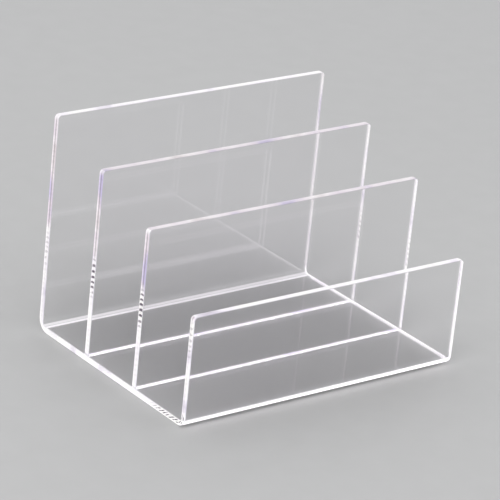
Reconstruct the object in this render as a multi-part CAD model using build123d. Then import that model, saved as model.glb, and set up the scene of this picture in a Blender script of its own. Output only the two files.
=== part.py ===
from build123d import *
import os

# Desktop file sorter, clear acrylic sheet.
# One sheet is line-bent into a tray: a tall rear wall, a base and a low front wall.
# Two loose sheets stand on the base and are cemented to it, which makes three
# equal compartments whose walls step down from the rear to the front.
#
# Millimetres. X is the width, -Y is the front, +Z is up.
# The origin is on the underside, in the middle of the width and of the depth.

# ---------------------------------------------------------------- sizes
WIDTH = 250.0                # along the sheets
DEPTH = 189.0                # outer face of the front wall to outer face of the rear wall
SHEET = 5.0                  # thickness of the acrylic stock

REAR_TOP = 174.0             # height of each upright above the table
REAR_DIVIDER_TOP = 153.0
FRONT_DIVIDER_TOP = 130.5
FRONT_TOP = 87.5

# A line bend stretches the hot sheet: the outer skin comes out rounder than the inner
# one, and the sheet is thinner across the corner than the stock.
REAR_BEND_OUTER = 11.0
REAR_BEND_INNER = 3.0
FRONT_BEND_OUTER = 9.0
FRONT_BEND_INNER = 1.5

CORNER = 3.0                 # rounding of the upper corners of every upright
ARRIS = 0.3                  # broken edge where a sawn edge meets a face

CEMENT_FILM = 0.2            # cement left between a divider's foot and the base
CEMENT_BEAD = 1.2            # squeezed-out bead along each side of the foot
CEMENT_HOLLOW = 0.62         # how far the bead's face bows in; 0.5 is flat, 0.7 a full cove

COMPARTMENTS = 3
PITCH = (DEPTH - SHEET) / COMPARTMENTS
FRONT_DIVIDER_Y = -DEPTH / 2 + SHEET / 2 + PITCH
REAR_DIVIDER_Y = FRONT_DIVIDER_Y + PITCH

TINY = 1e-3


# ---------------------------------------------------------------- helpers
def round_point(sketch, y, z, radius):
    """Round the profile's corner that lies at (y, z)."""
    corner = [v for v in sketch.vertices() if abs(v.Y - y) < TINY and abs(v.Z - z) < TINY]
    return fillet(corner, radius)


def sawn_corners(solid, top):
    """Short edges that run through the sheet at an upright's upper corners."""
    edges = solid.edges().filter_by(Axis.Y)
    return [e for e in edges if abs(e.center().Z - top) < TINY and abs(e.length - SHEET) < TINY]


def on_outline(edge, faces):
    """True for an edge that belongs to the rim of one of the given faces."""
    return any(edge.is_same(rim) for face in faces for rim in face.outer_wire().edges())


# ---------------------------------------------------------------- bent tray
def tray_profile():
    """Side view of the bent sheet, in the YZ plane."""
    front = -DEPTH / 2
    rear = DEPTH / 2
    points = [
        (0, front, FRONT_TOP),
        (0, front, 0),
        (0, rear, 0),
        (0, rear, REAR_TOP),
        (0, rear - SHEET, REAR_TOP),
        (0, rear - SHEET, SHEET),
        (0, front + SHEET, SHEET),
        (0, front + SHEET, FRONT_TOP),
    ]
    profile = make_face(Polyline(points, close=True))
    profile = round_point(profile, front, 0, FRONT_BEND_OUTER)
    profile = round_point(profile, rear, 0, REAR_BEND_OUTER)
    profile = round_point(profile, front + SHEET, SHEET, FRONT_BEND_INNER)
    profile = round_point(profile, rear - SHEET, SHEET, REAR_BEND_INNER)
    return profile


def side_rims(solid):
    """Edges where the two sawn sides of the tray meet its inner and outer skins."""
    rims = []
    for edge in solid.edges():
        centre = edge.center()
        at_side = abs(abs(centre.X) - WIDTH / 2) < CORNER
        along_y_at_top = abs(edge.length - SHEET) < TINY and edge.geom_type == GeomType.LINE
        if at_side and not along_y_at_top:
            rims.append(edge)
    return rims


def top_rims(solid, top):
    """Edges along the top of an upright, front and back."""
    edges = solid.edges().filter_by(Axis.X)
    return [e for e in edges if abs(e.center().Z - top) < TINY]


def bent_tray():
    tray = extrude(tray_profile(), amount=WIDTH / 2, dir=(1, 0, 0), both=True)
    corners = sawn_corners(tray, REAR_TOP) + sawn_corners(tray, FRONT_TOP)
    tray = fillet(corners, CORNER)
    rims = side_rims(tray) + top_rims(tray, REAR_TOP) + top_rims(tray, FRONT_TOP)
    return chamfer(rims, ARRIS)


# ---------------------------------------------------------------- dividers
def divider(y, top):
    """Flat upright sheet standing on its film of cement."""
    foot = SHEET + CEMENT_FILM
    height = top - foot
    panel = Pos(0, y, foot + height / 2) * Box(WIDTH, SHEET, height)
    panel = fillet(sawn_corners(panel, top), CORNER)
    front_and_back = panel.faces().sort_by(Axis.Y)
    broad = [front_and_back[0], front_and_back[-1]]
    rims = [e for e in panel.edges() if on_outline(e, broad) and e.center().Z > foot + TINY]
    return chamfer(rims, ARRIS)


# ---------------------------------------------------------------- cement
def cement_seam(y):
    """Film under a divider's foot with a hollow-faced bead along each side."""
    half = SHEET / 2
    film_top = SHEET + CEMENT_FILM
    bead_top = SHEET + CEMENT_BEAD
    inset = CEMENT_HOLLOW * CEMENT_BEAD
    front_mid = (0, y - half - CEMENT_BEAD + inset, bead_top - inset)
    rear_mid = (0, y + half + CEMENT_BEAD - inset, bead_top - inset)
    outline = [
        Line((0, y - half - CEMENT_BEAD, SHEET), (0, y + half + CEMENT_BEAD, SHEET)),
        ThreePointArc((0, y + half + CEMENT_BEAD, SHEET), rear_mid, (0, y + half, bead_top)),
        Line((0, y + half, bead_top), (0, y + half, film_top)),
        Line((0, y + half, film_top), (0, y - half, film_top)),
        Line((0, y - half, film_top), (0, y - half, bead_top)),
        ThreePointArc((0, y - half, bead_top), front_mid, (0, y - half - CEMENT_BEAD, SHEET)),
    ]
    return extrude(make_face(outline), amount=WIDTH / 2 - ARRIS, dir=(1, 0, 0), both=True)


# ---------------------------------------------------------------- build
NODES = {
    "bent_tray": bent_tray(),
    "rear_divider": divider(REAR_DIVIDER_Y, REAR_DIVIDER_TOP),
    "front_divider": divider(FRONT_DIVIDER_Y, FRONT_DIVIDER_TOP),
    "rear_divider_cement": cement_seam(REAR_DIVIDER_Y),
    "front_divider_cement": cement_seam(FRONT_DIVIDER_Y),
}

os.makedirs("parts", exist_ok=True)
for name, shape in NODES.items():
    export_step(shape, f"parts/{name}.step")
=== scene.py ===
"""Clear acrylic desktop file sorter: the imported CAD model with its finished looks.

Metres, in the CAD model's frame: X is the width, -Y is the front, +Z is up.
"""
import bpy
import bmesh
import math
from mathutils import Matrix, Vector, noise


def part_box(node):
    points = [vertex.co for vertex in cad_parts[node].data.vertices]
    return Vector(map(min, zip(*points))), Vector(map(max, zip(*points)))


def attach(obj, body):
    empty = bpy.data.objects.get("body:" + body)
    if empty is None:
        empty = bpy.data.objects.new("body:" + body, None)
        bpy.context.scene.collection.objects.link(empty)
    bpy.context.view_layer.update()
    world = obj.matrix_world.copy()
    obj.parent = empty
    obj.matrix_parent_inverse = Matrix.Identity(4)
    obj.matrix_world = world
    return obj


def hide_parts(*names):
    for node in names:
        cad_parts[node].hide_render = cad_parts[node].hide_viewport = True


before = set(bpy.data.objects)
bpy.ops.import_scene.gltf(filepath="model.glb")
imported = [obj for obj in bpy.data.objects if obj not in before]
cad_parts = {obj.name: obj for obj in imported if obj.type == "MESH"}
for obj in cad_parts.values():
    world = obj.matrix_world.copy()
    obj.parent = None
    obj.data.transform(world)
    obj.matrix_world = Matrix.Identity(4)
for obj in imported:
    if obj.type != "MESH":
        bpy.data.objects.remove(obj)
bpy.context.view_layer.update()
TRAY_LOW, TRAY_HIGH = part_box("bent_tray")

MM = 0.001
ACRYLIC_IOR = 1.49
CLEAR = (0.985, 0.980, 0.988, 1)
CORE_TINT = (0.10, 0.07, 0.10)   # painted shade: darker core along the middle of an edge's glow
MARK_TINT = (0.12, 0.10, 0.13)   # marks of the saw
BORDER_TINT = (0.36, 0.33, 0.40) # painted shade: dimmer border along both faces of an edge's glow
BORDER_DEPTH = 0.6
BORDER_POWER = 7.0               # higher makes the border narrower
EDGE_BODY = (0.12, 0.12, 0.13)   # an edge's own colour, as a share of its painted glow colour
CEMENT_GLOW = (0.42, 0.41, 0.42) # painted glow of the cement, as a share of its own colour

# ---------------------------------------------------------------- sizes
# The frame gives the outer sizes. These are the finer ones.
SHEET = 5.0 * MM
FRONT_TOP = 87.5 * MM            # height of the front wall
REAR_BEND_OUTER = 11.0 * MM      # radii of the two line bends
REAR_BEND_INNER = 3.0 * MM
FRONT_BEND_OUTER = 9.0 * MM
FRONT_BEND_INNER = 1.5 * MM
CORNER = 3.0 * MM                # rounded upper corners
FOOT_CORNER = 0.6 * MM           # nearly square lower corners of a divider
ARRIS = 0.35 * MM                # softened line where an edge meets a face
CROWN = 0.10 * MM                # polished edges bulge a little in the middle
RIM_STEP = 1.5 * MM              # spacing of mesh points along the edges
BEND_STEPS = 60                  # mesh points round each line bend
CORNER_STEPS = 10
ARRIS_STEPS = 3
EDGE_STEPS = 6                   # mesh points across the flat of an edge
SMALLEST_RADIUS = 0.01 * MM      # a corner keeps at least this much when it is pulled in
SAME_PLACE = 0.001 * MM          # points nearer than this are one point
FACE_SLOT, EDGE_SLOT, PAINTED_GLOW_SLOT = 0, 1, 2

# Cement under a divider's foot. Its bead varies in size along the foot.
CEMENT_TOP = 0.18 * MM           # top of the film, above the base
CEMENT_GAP = 0.02 * MM           # kept clear of the sheets
BEAD_STEP = 1.0 * MM             # spacing of mesh points along the bead
BEAD_ARC_STEPS = 6
BEAD_SIZE = 0.55                 # mean size, and its variation, as shares of the CAD bead's height
BEAD_VARIATION = 0.20
BEAD_WAVES = 160                 # variations in a metre
BEAD_SIDE_SHIFT = 7.3            # keeps the two beads of a foot from varying alike
BEAD_SPREAD = 0.96               # pulls the curve of the bead in a little
BEAD_SEEDS = {"rear_divider": 3.1, "front_divider": 4.1}

# Camera, from the same fit that gave the object's proportions.
CAMERA_AT = Vector((-1.3510, -1.6488, 0.9710))
CAMERA_TURN = 39.244             # degrees from +Y towards +X
CAMERA_DOWN = 22.701
CAMERA_ROLL = 5.958
CAMERA_LENS = 222.36             # millimetres on a 36 mm sensor
CAMERA_SHIFT = (-0.001, 0.001)

# Stage and light.
FLOOR_REACH = 30.0
FLOOR_DROP = 0.3 * MM            # keeps the floor clear of the object's underside
KEY_AT = (-1.5, -0.9, 2.3)
KEY_TARGET = (0, 0, 0.08)
KEY_SIZE = (1.4, 1.4)
KEY_WATTS = 16.0
KEY_COLOUR = (1.0, 0.99, 0.975)
DOME_COLOUR = (0.985, 0.99, 1.0, 1)
DOME_HORIZON = 0.512             # radiance of the dome, low down and straight up
DOME_TOP = 1.35
DOME_RISE = 1.3                  # above 1, the dome brightens slowly near the horizon
CLEAR_BOUNCES = 32               # light paths through many sheets need this many
GLOSSY_BOUNCES = 16
DIFFUSE_BOUNCES = 6

# Painted glow on the edges, standing in for the light that the sheets gather and pipe to them: 1 is
# white.
TOP_GLOW = 0.88
DIVIDER_TOP_GLOW = 0.74
FOOT_GLOW = 1.20                 # lower edge of a divider
LEFT_GLOW = 1.02
RIGHT_FRONT_GLOW = 1.15          # right edges, dimmer from the front wall to the rear wall
RIGHT_REAR_GLOW = 0.90
RIGHT_BASE_GLOW = 1.25
# Painted reflections of the right edges, as glowing strips on the skin behind them.
WALL_MIRROR_REACH = 0.7 * MM     # the painted reflection of a right edge reaches this far into the skin behind it
BASE_MIRROR_REACH = 1.4 * MM
BASE_MIRROR_GLOW = 0.40
FRONT_MIRROR_GLOW = 0.40         # on the front wall, and dimmer towards the rear wall
REAR_MIRROR_GLOW = 0.24
NO_MIRROR = (0.0, WALL_MIRROR_REACH)
FOOT_HEIGHT = 9 * MM             # up to about here the tray's edges glow as the base's edge does
FOOT_SOFTNESS = 2 * MM
SEAM_DEPTH = 0.5                 # painted shade: the painted glow dips where a divider is cemented to the base
SEAM_REACH = 0.8 * MM

# Painted glow on the outer skin of each line bend, for the light that leaks out there. The turns are
# in degrees, from 0 where the bend starts to 90 where it ends, going from the front wall's top to the
# rear wall's.
FRONT_BEND_GLOW = 0.8
FRONT_GLOW_FROM = (12, 16)       # the band of light fades in between these turns
FRONT_GLOW_TO = (50, 56)         # and out between these
REAR_BEND_GLOW = 0.62
REAR_GLOW_FROM = (12, 17)
REAR_GLOW_TO = (47, 52)
REAR_GLOW_DIMS = (27, 31)        # the far half of the rear band is dimmer by REAR_DIMMING
REAR_DIMMING = 0.35
REAR_LINE_TURN = 29              # painted shade: a thin dark line parts its two halves
REAR_LINE_WIDTH = 2.5
REAR_LINE_DEPTH = 0.75

# Painted mauve shade on the edges' glow: 0 is white, 1 is mauve with a darker core.
MAUVE_SHADE_HEIGHT = 85 * MM            # above this the left edges get the mauve painted shade
MAUVE_SHADE_SOFTNESS = 4 * MM
LEFT_MAUVE_SHADE = 0.2                  # below it
DIVIDER_TOP_MAUVE_SHADE = 0.75
TRAY_TOP_MAUVE_SHADE = 0.12
RIGHT_FRONT_MAUVE_SHADE = 0.05
RIGHT_REAR_MAUVE_SHADE = 0.40
CORE_DARKNESS = 0.05
MAUVE_SHADE_CORE_DARKNESS = 0.47       # and this much more where a side is mauve
CORE_OFF_CENTRE = 0.15           # the core's middle, in half thicknesses

# Marks of the saw on the edges.
SAW_PITCH = 4.3 * MM
SAW_MIDDLE = 68 * MM             # height of the marks on the uprights, and how far they reach
SAW_REACH = 14 * MM
WALL_MARKS = 0.30                # strength of the marks on the tray's two walls; 1 on the dividers
SAW_BASE_FULL = 20.4 * MM        # the base's edge is marked from the front wall back to here,
SAW_BASE_END = 47.6 * MM         # and then less and less up to here
UPRIGHT_SLANT = 0.12             # how far the marks lean over half the thickness, in pitches
BASE_SLANT = -1.2
RIGHT_MARKS = 0.30               # strength of the marks on the right edges
STRAY_MARKS = 0.06               # and of those outside the marked stretches
SAW_STRENGTH = 1.15              # mean strength, and its variation from place to place
SAW_VARIATION = 0.5
SAW_PATCHES = (9, 23, 31)        # patches of the variation in a metre, along X, Y and Z
SAW_DRIFT = 1.5                  # the marks stray from their places by up to this many pitches
SAW_OFF_CENTRE = 0.1             # the marks' middle, in half thicknesses
SAW_NARROWING = 0.35             # marks that lean more keep further from the edge's borders


# ---------------------------------------------------------------- node helpers
def new_material(name):
    """A material, its node tree and its one shader, which nothing feeds yet."""
    material = bpy.data.materials.new(name)
    material.use_nodes = True
    tree = material.node_tree
    tree.nodes.clear()
    out = tree.nodes.new("ShaderNodeOutputMaterial")
    shader = tree.nodes.new("ShaderNodeBsdfPrincipled")
    tree.links.new(shader.outputs["BSDF"], out.inputs["Surface"])
    return material, tree, shader


def add(tree, kind, inputs=None, **settings):
    """A node with its settings; inputs may be numbers or other nodes' outputs."""
    node = tree.nodes.new(kind)
    for key, value in settings.items():
        setattr(node, key, value)
    for key, value in (inputs or {}).items():
        if isinstance(value, bpy.types.NodeSocket):
            tree.links.new(value, node.inputs[key])
        else:
            node.inputs[key].default_value = value
    return node


def object_coords(tree, scale=(1, 1, 1)):
    """Texture coordinates fixed to the object, in metres."""
    coords = add(tree, "ShaderNodeTexCoord")
    mapping = add(tree, "ShaderNodeMapping", {"Vector": coords.outputs["Object"], "Scale": scale})
    return mapping.outputs["Vector"]


def ramp(tree, factor, stops):
    """Colour that depends on factor; each stop is a position and its colour."""
    node = add(tree, "ShaderNodeValToRGB", {"Fac": factor})
    elements = node.color_ramp.elements
    while len(elements) < len(stops):
        elements.new(0.5)
    for element, (position, colour) in zip(elements, stops):
        element.position = position
        element.color = (*colour, 1.0)
    return node.outputs["Color"]


def grey(value):
    return (value, value, value)


def math_node(tree, operation, first, second=0.0, third=0.0):
    """Arithmetic on values, of which any may be a node's output."""
    node = tree.nodes.new("ShaderNodeMath")
    node.operation = operation
    for slot, value in zip(node.inputs, (first, second, third)):
        if isinstance(value, bpy.types.NodeSocket):
            tree.links.new(value, slot)
        else:
            slot.default_value = value
    return node.outputs[0]


def attribute(tree, name):
    return add(tree, "ShaderNodeAttribute", attribute_name=name).outputs["Fac"]


def blended(tree, first, second, amount=1.0, blend="MIX"):
    """Colour mix of two colours, of which either may be a node's output."""
    node = add(tree, "ShaderNodeMix", data_type="RGBA", blend_type=blend)
    for slot, value in zip((node.inputs[0], node.inputs[6], node.inputs[7]), (amount, first, second)):
        if isinstance(value, bpy.types.NodeSocket):
            tree.links.new(value, slot)
        elif isinstance(value, tuple):
            slot.default_value = (*value, 1.0)
        else:
            slot.default_value = value
    return node.outputs[2]


def noise_node(tree, coords, scale, detail=2.0):
    """Soft random pattern, 0 to 1. Scale is in patches to a metre."""
    inputs = {"Vector": coords, "Scale": scale, "Detail": detail}
    return add(tree, "ShaderNodeTexNoise", inputs).outputs["Fac"]


def add_bump(tree, shader, height, strength, depth):
    """Bump the shader's normal by a height pattern; depth is in metres."""
    bump = add(tree, "ShaderNodeBump", {"Height": height, "Strength": strength, "Distance": depth})
    tree.links.new(bump.outputs["Normal"], shader.inputs["Normal"])


def add_glow(tree, shader, colour):
    """Make the surface give off this colour; 1 is white."""
    tree.links.new(colour, shader.inputs["Emission Color"])
    shader.inputs["Emission Strength"].default_value = 1.0


# ---------------------------------------------------------------- materials
def make_clear(shader):
    """Let light through, with acrylic's tint and refraction."""
    shader.inputs["Base Color"].default_value = CLEAR
    shader.inputs["Transmission Weight"].default_value = 1.0
    shader.inputs["IOR"].default_value = ACRYLIC_IOR


def acrylic_face():
    """Clear cast acrylic with a faint cool tint, a trace of haze and a slightly wavy skin."""
    material, tree, shader = new_material("acrylic_face")
    make_clear(shader)
    haze = noise_node(tree, object_coords(tree), 60.0, 6.0)
    roughness = ramp(tree, haze, [(0.45, grey(0.0)), (0.8, grey(0.03))])
    tree.links.new(roughness, shader.inputs["Roughness"])
    wave = noise_node(tree, object_coords(tree), 14.0, 1.0)
    add_bump(tree, shader, wave, 1.0, 0.03 * MM)
    return material


def acrylic_painted_glow():
    """Heat-formed stretch of sheet with a trace of haze, painted with a glow where light piped along
    the sheet leaks out; also the strips that carry a painted reflection of a right edge.
    """
    material, tree, shader = new_material("acrylic_painted_glow")
    make_clear(shader)
    shader.inputs["Roughness"].default_value = 0.03
    # Painted glow: the leak attribute, made uneven by streaks, sets what these faces give off.
    streaks = noise_node(tree, object_coords(tree, (0.12, 1, 1)), 170.0, 3.0)
    uneven = ramp(tree, streaks, [(0.3, (0.80, 0.75, 0.80)), (0.6, (1.0, 0.965, 1.0))])
    glow = blended(tree, uneven, attribute(tree, "leak"), blend="MULTIPLY")
    add_glow(tree, shader, glow)
    return material


def rim_coords(tree, across_scale):
    """Texture coordinates along an edge, in metres, and across it.

    across_scale is what half the thickness counts for: a small one stretches a pattern across.
    """
    across = math_node(tree, "MULTIPLY", attribute(tree, "across"), across_scale)
    parts = {"X": attribute(tree, "along"), "Y": across}
    return add(tree, "ShaderNodeCombineXYZ", parts).outputs["Vector"]


def saw_marks(tree):
    """0 to 1: slanting dashes at the saw's pitch, broken up, and kept off the edge's borders."""
    across = attribute(tree, "across")
    slant = attribute(tree, "slant")
    drift = noise_node(tree, rim_coords(tree, 0.0002), 70.0)
    turns = math_node(tree, "DIVIDE", attribute(tree, "along"), SAW_PITCH)
    turns = math_node(tree, "MULTIPLY_ADD", across, slant, turns)
    turns = math_node(tree, "MULTIPLY_ADD", drift, SAW_DRIFT, turns)
    wave = math_node(tree, "SINE", math_node(tree, "MULTIPLY", turns, 2 * math.pi))
    bars = ramp(tree, wave, [(0.05, grey(0.0)), (0.40, grey(1.0))])
    patches = noise_node(tree, rim_coords(tree, 0.0013), 420.0)
    broken = ramp(tree, patches, [(0.36, grey(0.0)), (0.45, grey(1.0))])
    marks = blended(tree, bars, broken, blend="MULTIPLY")
    off_middle = math_node(tree, "ABSOLUTE", math_node(tree, "SUBTRACT", across, SAW_OFF_CENTRE))
    lean = math_node(tree, "ABSOLUTE", slant)
    narrowing = math_node(tree, "MULTIPLY_ADD", lean, SAW_NARROWING, 1.0)
    off_middle = math_node(tree, "MULTIPLY", off_middle, narrowing)
    window = ramp(tree, off_middle, [(0.62, grey(1.0)), (0.95, grey(0.0))])
    marks = blended(tree, marks, window, blend="MULTIPLY")
    return blended(tree, marks, attribute(tree, "chatter"), blend="MULTIPLY")


def acrylic_edge():
    """Sawn and flame-polished edge with a painted glow, almost white, standing in for the light piped
    through the sheet.
    """
    material, tree, shader = new_material("acrylic_edge")
    mauve_shade = attribute(tree, "mauve_shade")
    across = attribute(tree, "across")
    # Painted glow colour of the edge: brightness that drifts along it, turning to a mauve painted
    # shade where the mesh says so.
    slow = noise_node(tree, rim_coords(tree, 0.004), 26.0)
    bright = ramp(tree, slow, [
        (0.34, (0.66, 0.61, 0.68)),
        (0.44, (0.97, 0.94, 0.98)),
        (0.60, (1.00, 1.00, 0.96)),
        (0.70, (0.82, 0.78, 0.84)),
    ])
    mauve = ramp(tree, slow, [
        (0.36, (0.62, 0.56, 0.78)),
        (0.46, (0.82, 0.73, 0.80)),
        (0.55, (0.96, 0.90, 0.93)),
        (0.68, (0.76, 0.69, 0.70)),
    ])
    colour = blended(tree, bright, mauve, mauve_shade)

    # Painted shade: two bright rails with a darker core between them, which is deepest where the edge
    # is mauve.
    off_core = math_node(tree, "ABSOLUTE", math_node(tree, "SUBTRACT", across, CORE_OFF_CENTRE))
    core = ramp(tree, off_core, [(0.10, grey(1.0)), (0.55, grey(0.0))])
    darkness = math_node(tree, "MULTIPLY", core, attribute(tree, "core"))
    colour = blended(tree, colour, CORE_TINT, darkness)

    # Hairlines across the edge and the saw's marks, and a painted shade that dims the border along
    # both faces.
    lines = noise_node(tree, rim_coords(tree, 0.00025), 1400.0)
    hairlines = ramp(tree, lines, [(0.30, grey(0.88)), (0.55, grey(1.0))])
    colour = blended(tree, colour, hairlines, blend="MULTIPLY")
    colour = blended(tree, colour, MARK_TINT, saw_marks(tree))
    border = math_node(tree, "POWER", math_node(tree, "ABSOLUTE", across), BORDER_POWER)
    colour = blended(tree, colour, BORDER_TINT, math_node(tree, "MULTIPLY", border, BORDER_DEPTH))

    # The colour is given off as a painted glow, scaled by the piped attribute; the base colour is only
    # a dim share of it.
    light = {0: colour, "Scale": attribute(tree, "piped")}
    glow = add(tree, "ShaderNodeVectorMath", light, operation="SCALE").outputs["Vector"]
    add_glow(tree, shader, glow)
    body = blended(tree, colour, EDGE_BODY, blend="MULTIPLY")
    tree.links.new(body, shader.inputs["Base Color"])
    roughness = ramp(tree, lines, [(0.3, grey(0.30)), (0.6, grey(0.14))])
    tree.links.new(roughness, shader.inputs["Roughness"])
    add_bump(tree, shader, lines, 0.4, 0.04 * MM)
    shader.inputs["IOR"].default_value = ACRYLIC_IOR
    shader.inputs["Transmission Weight"].default_value = 0.15
    return material


def solvent_cement():
    """Set solvent cement: milky, with specks of trapped air, an uneven skin and a painted glow."""
    material, tree, shader = new_material("solvent_cement")
    coords = object_coords(tree)
    cloud = noise_node(tree, coords, 260.0, 3.0)
    specks = add(tree, "ShaderNodeTexVoronoi", {"Vector": coords, "Scale": 900.0}).outputs["Distance"]
    air = ramp(tree, specks, [(0.10, grey(1.0)), (0.22, grey(0.0))])
    body = ramp(tree, cloud, [(0.35, (0.80, 0.78, 0.83)), (0.60, (0.96, 0.96, 0.97))])
    colour = blended(tree, body, (1.0, 1.0, 1.0), air)
    tree.links.new(colour, shader.inputs["Base Color"])
    # Painted glow: the cement gives off a share of its own colour.
    glow = blended(tree, colour, CEMENT_GLOW, blend="MULTIPLY")
    add_glow(tree, shader, glow)
    roughness = ramp(tree, cloud, [(0.35, grey(0.10)), (0.65, grey(0.28))])
    tree.links.new(roughness, shader.inputs["Roughness"])
    add_bump(tree, shader, cloud, 0.5, 0.08 * MM)
    shader.inputs["IOR"].default_value = ACRYLIC_IOR
    shader.inputs["Transmission Weight"].default_value = 0.55
    return material


def pale_floor():
    """Plain matt grey-white with a barely visible mottle."""
    material, tree, shader = new_material("pale_floor")
    mottle = noise_node(tree, object_coords(tree), 45.0, 6.0)
    tone = ramp(tree, mottle, [(0.3, grey(0.458)), (0.7, grey(0.470))])
    tree.links.new(tone, shader.inputs["Base Color"])
    shader.inputs["Roughness"].default_value = 0.5
    shader.inputs["Specular IOR Level"].default_value = 0.3
    return material


# ---------------------------------------------------------------- sheet meshes
def smooth_step(value, low, high):
    """0 below low, 1 above high, with a soft change between."""
    t = min(1.0, max(0.0, (value - low) / (high - low)))
    return t * t * (3 - 2 * t)


def spread(start, end, step):
    """Evenly spaced values from start to end, no further apart than step."""
    count = max(1, math.ceil(abs(end - start) / step))
    return [start + (end - start) * i / count for i in range(count + 1)]


def merged(values):
    """Sorted values without near repeats."""
    kept = []
    for value in sorted(values):
        if not kept or value - kept[-1] > SAME_PLACE:
            kept.append(value)
    return kept


def rim_section():
    """Points (inset, offset) across an edge, from one face of the sheet to the other."""
    half = SHEET / 2
    flat = half - ARRIS
    points = []
    for i in range(ARRIS_STEPS):
        turn = math.radians(90 * i / ARRIS_STEPS)
        points.append((CROWN + ARRIS * (1 - math.sin(turn)), -half + ARRIS * (1 - math.cos(turn))))
    for i in range(EDGE_STEPS + 1):
        offset = flat * (2 * i / EDGE_STEPS - 1)
        points.append((CROWN * (offset / flat) ** 2, offset))
    for i in reversed(range(ARRIS_STEPS)):
        turn = math.radians(90 * i / ARRIS_STEPS)
        points.append((CROWN + ARRIS * (1 - math.sin(turn)), half - ARRIS * (1 - math.cos(turn))))
    return points


def outline(width, length, inset, low_corner, high_corner, along):
    """Closed outline of the flat sheet, as (x, s), pulled in by inset.

    It runs up the right side, over the far end, down the left side and back.
    along holds the s values used on both long sides, between the corners.
    """
    half = width / 2

    def corner(side, end, radius, first, last):
        centre_x = side * (half - radius)
        centre_s = radius if end == 0 else length - radius
        reach = max(radius - inset, SMALLEST_RADIUS)
        for i in range(CORNER_STEPS + 1):
            turn = math.radians(first + (last - first) * i / CORNER_STEPS)
            yield centre_x + reach * math.cos(turn), centre_s + reach * math.sin(turn)

    points = []
    points += corner(1, 0, low_corner, -90, 0)
    points += [(half - inset, s) for s in along]
    points += corner(1, 1, high_corner, 0, 90)
    far_end = spread(half - high_corner, high_corner - half, RIM_STEP)[1:-1]
    points += [(x, length - inset) for x in far_end]
    points += corner(-1, 1, high_corner, 90, 180)
    points += [(inset - half, s) for s in reversed(along)]
    points += corner(-1, 0, low_corner, 180, 270)
    near_end = spread(low_corner - half, half - low_corner, RIM_STEP)[1:-1]
    points += [(x, inset) for x in near_end]
    return points


def from_front(point, front, rear):
    """A value that changes evenly from the front of the tray to its rear."""
    return front + (rear - front) * (point.y - TRAY_LOW.y) / (TRAY_HIGH.y - TRAY_LOW.y)


def above_foot(point):
    """0 down on the base, 1 up the walls, with a soft change."""
    return smooth_step(point.z, FOOT_HEIGHT - FOOT_SOFTNESS, FOOT_HEIGHT + FOOT_SOFTNESS)


def painted_edge_glow(point, on_side, foot):
    """How bright an edge's painted glow is there, standing in for the light that the sheet pipes to
    it.

    foot is the height of a divider's lower edge, and None for the bent sheet.
    """
    if not on_side:
        if foot is None:
            return TOP_GLOW
        return FOOT_GLOW if point.z < foot + SHEET else DIVIDER_TOP_GLOW
    if point.x < 0:
        glow = LEFT_GLOW
    else:
        glow = from_front(point, RIGHT_FRONT_GLOW, RIGHT_REAR_GLOW)
        if foot is None:
            glow = RIGHT_BASE_GLOW + (glow - RIGHT_BASE_GLOW) * above_foot(point)
    if foot is not None:
        # Painted shade: the glow dips along the cemented seam.
        glow *= 1 - SEAM_DEPTH * math.exp(-((point.z - foot) / SEAM_REACH) ** 2)
    return glow


def painted_mauve_shade(point, on_side, to_top, foot):
    """Painted shade on an edge's glow: 0 where it is white, 1 where it is mauve, most of all high up
    on the left.
    """
    if not on_side:
        return TRAY_TOP_MAUVE_SHADE if foot is None else DIVIDER_TOP_MAUVE_SHADE
    if point.x > 0:
        return from_front(point, RIGHT_FRONT_MAUVE_SHADE, RIGHT_REAR_MAUVE_SHADE) * above_foot(point)
    below_corner = smooth_step(to_top, 0.5 * CORNER, 1.6 * CORNER)
    high_up = smooth_step(point.z, MAUVE_SHADE_HEIGHT - MAUVE_SHADE_SOFTNESS, MAUVE_SHADE_HEIGHT + MAUVE_SHADE_SOFTNESS)
    return (LEFT_MAUVE_SHADE + (1 - LEFT_MAUVE_SHADE) * high_up * below_corner) * above_foot(point)


def saw_chatter(point):
    """How strongly the saw marked an edge, 0 to 1: part way up, and near the front of the base."""
    on_upright = math.exp(-((point.z - SAW_MIDDLE) / SAW_REACH) ** 4)
    behind_front = point.y - TRAY_LOW.y
    on_base = 1 - smooth_step(behind_front, SAW_BASE_FULL, SAW_BASE_END)
    on_base *= 1 - above_foot(point)
    on_tray_wall = min(behind_front, TRAY_HIGH.y - point.y) < 1.5 * SHEET
    if on_tray_wall:
        on_upright *= WALL_MARKS
    patch = Vector([distance * scale for distance, scale in zip(point, SAW_PATCHES)])
    uneven = SAW_STRENGTH + SAW_VARIATION * noise.noise(patch)
    strength = max(on_upright, on_base)
    if point.x > 0:
        strength *= RIGHT_MARKS
    return min(1.0, max(strength, STRAY_MARKS) * uneven)


def saw_slant(point):
    """How far the marks lean: much on the base, hardly at all on the uprights."""
    upright = smooth_step(point.z, SHEET, 3 * SHEET)
    return BASE_SLANT + (UPRIGHT_SLANT - BASE_SLANT) * upright


def divider_leak(s, inside):
    """Flat sheets get no painted glow on their faces."""
    return 0.0


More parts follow.
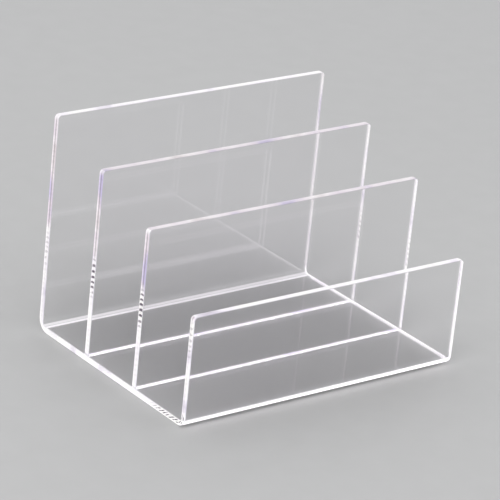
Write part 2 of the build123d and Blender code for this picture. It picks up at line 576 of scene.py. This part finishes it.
def add_skin(bm, leak_layer, ring, flat, side, ends, place, offset, leak, mirror):
    """One broad face of a sheet, in rows from its right side to its left side.

    flat holds the ring's points as (x, s), side is how many of them lie on the right side, and
    ends how many on the far end. A strip beside the right edge carries a painted reflection of that
    edge, as a glow.
    """
    inside = offset > 0
    right = ring[:side]
    far = ring[side:side + ends]
    left = ring[side + ends:2 * side + ends][::-1]
    near = ring[2 * side + ends:]
    strip = [near[-2]]
    for x, s in flat[1:side - 1]:
        # Painted glow and painted reflection are stored together in the leak layer.
        glow, reach = mirror(s, inside)
        vert = bm.verts.new(place(x - reach, s, offset))
        vert[leak_layer] = leak(s, inside) + glow
        strip.append(vert)
    strip.append(far[1])
    for i in range(side - 1):
        wide = [strip[i], strip[i + 1], left[i + 1], left[i]]
        narrow = [right[i], right[i + 1], strip[i + 1], strip[i]]
        # The first row also takes the near end's points, and the last row the far end's.
        if i == 0:
            wide += near[:-2]
            narrow.append(near[-1])
        if i == side - 2:
            wide[2:2] = far[2:]
            narrow[2:2] = far[:1]
        row = (flat[i][1], flat[i + 1][1])
        leaking = any(leak(s, inside) > 0 for s in row)
        mirroring = any(mirror(s, inside)[0] > 0 for s in row)
        for corners, glowing in ((wide, leaking), (narrow, leaking or mirroring)):
            face = bm.faces.new(corners)
            face.smooth = True
            face.material_index = PAINTED_GLOW_SLOT if glowing else FACE_SLOT


def sheet_mesh(name, width, length, low_corner, high_corner, along, place, leak, mirror, foot=None):
    """A sheet with polished edges; place(x, s, n) puts each point of the flat sheet in space.

    low_corner rounds the corners where s is 0, and high_corner those where it is length.
    leak(s, inside) is how bright the painted glow of light leaving the faces is there: only bent
    stretches leak.
    mirror(s, inside) is how bright the painted reflection of the right edge is on a face, and how
    wide.
    """
    bm = bmesh.new()
    layers = {}
    for layer in ("along", "across", "piped", "leak", "mauve_shade", "core", "chatter", "slant"):
        layers[layer] = bm.verts.layers.float.new(layer)
    rings = []
    for inset, offset in rim_section():
        travelled = 0.0
        previous = None
        verts = []
        for x, s in outline(width, length, inset, low_corner, high_corner, along):
            travelled += math.dist((x, s), previous or (x, s))
            previous = (x, s)
            point = place(x, s, offset)
            on_side = abs(x) > width / 2 - 0.5 * CORNER
            mauve_shade = painted_mauve_shade(point, on_side, length - s, foot)
            vert = bm.verts.new(point)
            vert[layers["along"]] = travelled
            vert[layers["across"]] = offset / (SHEET / 2)
            # Painted glow, painted reflection and painted mauve shade, stored on the points for the
            # materials.
            vert[layers["piped"]] = painted_edge_glow(point, on_side, foot)
            vert[layers["leak"]] = leak(s, offset > 0)
            if on_side and x > 0:
                vert[layers["leak"]] += mirror(s, offset > 0)[0]
            vert[layers["mauve_shade"]] = mauve_shade
            vert[layers["core"]] = CORE_DARKNESS + (MAUVE_SHADE_CORE_DARKNESS * mauve_shade if on_side else 0.0)
            vert[layers["chatter"]] = saw_chatter(point) if on_side else 0.0
            vert[layers["slant"]] = saw_slant(point)
            verts.append(vert)
        rings.append(verts)
    for lower, upper in zip(rings, rings[1:]):
        for i in range(len(lower)):
            j = (i + 1) % len(lower)
            face = bm.faces.new((lower[i], lower[j], upper[j], upper[i]))
            face.material_index = EDGE_SLOT
            face.smooth = True

    flat = outline(width, length, CROWN + ARRIS, low_corner, high_corner, along)
    side = 2 * (CORNER_STEPS + 1) + len(along)
    ends = len(spread(high_corner - width / 2, width / 2 - high_corner, RIM_STEP)) - 2
    for ring, offset in ((rings[0], -SHEET / 2), (rings[-1], SHEET / 2)):
        add_skin(bm, layers["leak"], ring, flat, side, ends, place, offset, leak, mirror)
    bmesh.ops.recalc_face_normals(bm, faces=bm.faces)
    # Shading is smooth, except where the edge of the sheet meets a broad face.
    for edge in bm.edges:
        on_rim = [face.material_index == EDGE_SLOT for face in edge.link_faces]
        edge.smooth = all(on_rim) or not any(on_rim)
    mesh = bpy.data.meshes.new(name)
    bm.to_mesh(mesh)
    bm.free()
    return mesh


def bend_point(tangent, radius, share):
    """A path round a square corner, as distances from the corner along the first and second legs.

    It starts tangent before the corner, ends tangent after it, and share runs from 0 to 1 along it.
    """
    straight = tangent - radius
    travelled = share * (2 * straight + radius * math.pi / 2)
    if travelled < straight:
        return tangent - travelled, 0.0
    turn = (travelled - straight) / radius
    if turn > math.pi / 2:
        return 0.0, travelled - straight - radius * math.pi / 2 + radius
    return radius * (1 - math.sin(turn)), radius * (1 - math.cos(turn))


def tray_path(low, high):
    """The place, leak and mirror functions of the bent sheet, its length, and s values for its sides.

    s runs down the front wall, along the base and up the rear wall, on the middle of the thickness.
    n is the distance from that middle towards the inside of the tray.
    """
    half = SHEET / 2
    wall = FRONT_TOP - FRONT_BEND_OUTER
    front_bend = (FRONT_BEND_OUTER - half) * math.pi / 2
    base = high.y - low.y - FRONT_BEND_OUTER - REAR_BEND_OUTER
    rear_bend = (REAR_BEND_OUTER - half) * math.pi / 2
    rear_wall = high.z - REAR_BEND_OUTER
    stops = [0.0]
    for stretch in (wall, front_bend, base, rear_bend, rear_wall):
        stops.append(stops[-1] + stretch)

    def place(x, s, n):
        depth = half + n
        share = depth / SHEET
        if s <= stops[1]:
            return Vector((x, low.y + depth, FRONT_TOP - s))
        if s <= stops[2]:
            along_bend = (s - stops[1]) / front_bend
            up, back = bend_point(FRONT_BEND_OUTER, FRONT_BEND_OUTER, along_bend)
            outer = Vector((x, low.y + back, low.z + up))
            up, back = bend_point(FRONT_BEND_OUTER - SHEET, FRONT_BEND_INNER, along_bend)
            inner = Vector((x, low.y + SHEET + back, low.z + SHEET + up))
            return outer.lerp(inner, share)
        if s <= stops[3]:
            return Vector((x, low.y + FRONT_BEND_OUTER + s - stops[2], low.z + depth))
        if s <= stops[4]:
            along_bend = (s - stops[3]) / rear_bend
            back, up = bend_point(REAR_BEND_OUTER, REAR_BEND_OUTER, along_bend)
            outer = Vector((x, high.y - back, low.z + up))
            back, up = bend_point(REAR_BEND_OUTER - SHEET, REAR_BEND_INNER, along_bend)
            inner = Vector((x, high.y - SHEET - back, low.z + SHEET + up))
            return outer.lerp(inner, share)
        return Vector((x, high.y - depth, low.z + REAR_BEND_OUTER + s - stops[4]))

    def leak(s, inside):
        """Painted glow on the outer skin of both bends, for light that leaks out: one line in front,
        two close ones at the rear.
        """
        if inside:
            return 0.0
        if stops[1] < s < stops[2]:
            turn = 90 * (s - stops[1]) / front_bend
            band = smooth_step(turn, *FRONT_GLOW_FROM) * (1 - smooth_step(turn, *FRONT_GLOW_TO))
            return FRONT_BEND_GLOW * band
        if stops[3] < s < stops[4]:
            turn = 90 * (s - stops[3]) / rear_bend
            band = smooth_step(turn, *REAR_GLOW_FROM) * (1 - smooth_step(turn, *REAR_GLOW_TO))
            # Painted shade: the far half is dimmer, and a thin dark line parts the two halves.
            dimmer_half = 1 - REAR_DIMMING * smooth_step(turn, *REAR_GLOW_DIMS)
            off_line = (turn - REAR_LINE_TURN) / REAR_LINE_WIDTH
            painted_shade_line = 1 - REAR_LINE_DEPTH * math.exp(-off_line ** 2)
            return REAR_BEND_GLOW * band * dimmer_half * painted_shade_line
        return 0.0

    def mirror(s, inside):
        """Painted reflection of the right edge on the skin that faces down or back, except round the
        bends.
        """
        if s < stops[1] and inside:
            return FRONT_MIRROR_GLOW, WALL_MIRROR_REACH
        if stops[2] < s < stops[3] and not inside:
            return BASE_MIRROR_GLOW, BASE_MIRROR_REACH
        if s > stops[4] and not inside:
            return REAR_MIRROR_GLOW, WALL_MIRROR_REACH
        return NO_MIRROR

    along = spread(CORNER, stops[1], RIM_STEP)[1:]
    along += spread(stops[1], stops[2], front_bend / BEND_STEPS)
    along += spread(stops[2], stops[3], RIM_STEP)
    along += spread(stops[3], stops[4], rear_bend / BEND_STEPS)
    along += spread(stops[4], stops[5] - CORNER, RIM_STEP)[:-1]
    return place, leak, mirror, stops[5], merged(along)


def add_piece(name, mesh, materials, replaced):
    """A piece that stands for a CAD node and rides on the object's one body."""
    piece = bpy.data.objects.new(name, mesh)
    bpy.context.scene.collection.objects.link(piece)
    for material in materials:
        mesh.materials.append(material)
    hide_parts(replaced)
    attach(piece, "root")
    return piece


def add_tray(materials):
    place, leak, mirror, length, along = tray_path(TRAY_LOW, TRAY_HIGH)
    width = TRAY_HIGH.x - TRAY_LOW.x
    mesh = sheet_mesh("bent_tray_sheet", width, length, CORNER, CORNER, along, place, leak, mirror)
    return add_piece("bent_tray_sheet", mesh, materials, "bent_tray")


def add_divider(node, materials):
    low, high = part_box(node)
    middle = (low.y + high.y) / 2
    height = high.z - low.z
    along = spread(FOOT_CORNER, height - CORNER, RIM_STEP)[1:-1]

    def place(x, s, n):
        return Vector((x, middle - n, low.z + s))

    def mirror(s, inside):
        """Painted reflection of the right edge on the rear skin."""
        if inside:
            return NO_MIRROR
        return from_front(place(0, s, 0), FRONT_MIRROR_GLOW, REAR_MIRROR_GLOW), WALL_MIRROR_REACH

    name = node + "_sheet"
    mesh = sheet_mesh(name, high.x - low.x, height, FOOT_CORNER, CORNER, along, place,
                      divider_leak, mirror, foot=low.z)
    return add_piece(name, mesh, materials, node)


def bead_section(middle, base, side, leg):
    """Points (y, z) round one side of the cement, from the bead's outer tip up to the film.

    side is -1 at the front and 1 at the rear. The bead bows in, and leg is its width and height.
    """
    inner = SHEET / 2 + CEMENT_GAP
    bottom = base + CEMENT_GAP
    points = [(middle + side * (SHEET / 2 + leg), bottom)]
    for k in range(1, BEAD_ARC_STEPS):
        turn = math.radians(90 * k / BEAD_ARC_STEPS)
        out = inner + leg * (1 - math.sin(turn)) * BEAD_SPREAD
        points.append((middle + side * out, bottom + leg * (1 - math.cos(turn))))
    points.append((middle + side * inner, bottom + leg))
    points.append((middle + side * inner, base + CEMENT_TOP))
    return points


def add_cement(node, material, seed):
    """Thin film with an uneven bead on both sides of a divider's foot."""
    low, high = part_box(node)
    middle = (low.y + high.y) / 2
    bm = bmesh.new()
    rings = []
    for x in spread(low.x, high.x, BEAD_STEP):
        ring = []
        for side in (-1, 1):
            wobble = noise.noise(Vector((x * BEAD_WAVES, seed + side * BEAD_SIDE_SHIFT, 0.0)))
            leg = (high.z - low.z) * (BEAD_SIZE + BEAD_VARIATION * wobble)
            section = bead_section(middle, low.z, side, leg)
            ring += section if side < 0 else section[::-1]
        rings.append([bm.verts.new((x, y, z)) for y, z in ring])
    count = len(rings[0])
    for ring, following in zip(rings, rings[1:]):
        for i in range(count):
            j = (i + 1) % count
            bm.faces.new((ring[i], ring[j], following[j], following[i])).smooth = True
    bm.faces.new(rings[0])
    bm.faces.new(rings[-1][::-1])
    bmesh.ops.recalc_face_normals(bm, faces=bm.faces)
    mesh = bpy.data.meshes.new(node + "_bead")
    bm.to_mesh(mesh)
    bm.free()
    return add_piece(node + "_bead", mesh, [material], node)


# ---------------------------------------------------------------- stage
def add_floor():
    """A floor that reaches to the horizon from every side."""
    mesh = bpy.data.meshes.new("floor")
    signs = ((-1, -1), (1, -1), (1, 1), (-1, 1))
    corners = [(x * FLOOR_REACH, y * FLOOR_REACH, -FLOOR_DROP) for x, y in signs]
    mesh.from_pydata(corners, [], [(0, 1, 2, 3)])
    mesh.materials.append(pale_floor())
    floor = bpy.data.objects.new("floor", mesh)
    bpy.context.scene.collection.objects.link(floor)


def add_key():
    """One large soft lamp from the front left."""
    data = bpy.data.lights.new("key", "AREA")
    data.shape = "RECTANGLE"
    data.size, data.size_y = KEY_SIZE
    data.energy = KEY_WATTS
    data.color = KEY_COLOUR
    light = bpy.data.objects.new("key", data)
    light.location = KEY_AT
    light.rotation_mode = "QUATERNION"
    light.rotation_quaternion = (Vector(KEY_TARGET) - Vector(KEY_AT)).to_track_quat("-Z", "Y")
    bpy.context.scene.collection.objects.link(light)


def add_dome():
    """A bright, even dome that fades to the floor's own tone at the horizon."""
    world = bpy.data.worlds.new("studio")
    world.use_nodes = True
    tree = world.node_tree
    background = tree.nodes["Background"]
    background.inputs["Color"].default_value = DOME_COLOUR
    direction = add(tree, "ShaderNodeTexCoord").outputs["Generated"]
    height = add(tree, "ShaderNodeSeparateXYZ", {"Vector": direction}).outputs["Z"]
    above = math_node(tree, "POWER", math_node(tree, "MAXIMUM", height, 0.0), DOME_RISE)
    glow = math_node(tree, "MULTIPLY_ADD", above, DOME_TOP - DOME_HORIZON, DOME_HORIZON)
    tree.links.new(glow, background.inputs["Strength"])
    bpy.context.scene.world = world


def add_camera():
    data = bpy.data.cameras.new("camera")
    data.lens = CAMERA_LENS
    data.sensor_width = 36
    data.shift_x, data.shift_y = CAMERA_SHIFT
    camera = bpy.data.objects.new("camera", data)
    turn = Matrix.Rotation(math.radians(-CAMERA_TURN), 4, "Z")
    tilt = Matrix.Rotation(math.radians(90 - CAMERA_DOWN), 4, "X")
    roll = Matrix.Rotation(math.radians(CAMERA_ROLL), 4, "Z")
    camera.matrix_world = Matrix.Translation(CAMERA_AT) @ turn @ tilt @ roll
    bpy.context.scene.collection.objects.link(camera)
    bpy.context.scene.camera = camera


def set_look():
    """Plain colours, and enough light paths to see through every sheet."""
    scene = bpy.context.scene
    scene.view_settings.view_transform = "Standard"
    scene.cycles.max_bounces = CLEAR_BOUNCES
    scene.cycles.transmission_bounces = CLEAR_BOUNCES
    scene.cycles.glossy_bounces = GLOSSY_BOUNCES
    scene.cycles.diffuse_bounces = DIFFUSE_BOUNCES


# ---------------------------------------------------------------- build
sheet_materials = [acrylic_face(), acrylic_edge(), acrylic_painted_glow()]
cement_material = solvent_cement()
add_tray(sheet_materials)
for name, seed in BEAD_SEEDS.items():
    add_divider(name, sheet_materials)
    add_cement(name + "_cement", cement_material, seed)
add_floor()
add_key()
add_dome()
add_camera()
set_look()
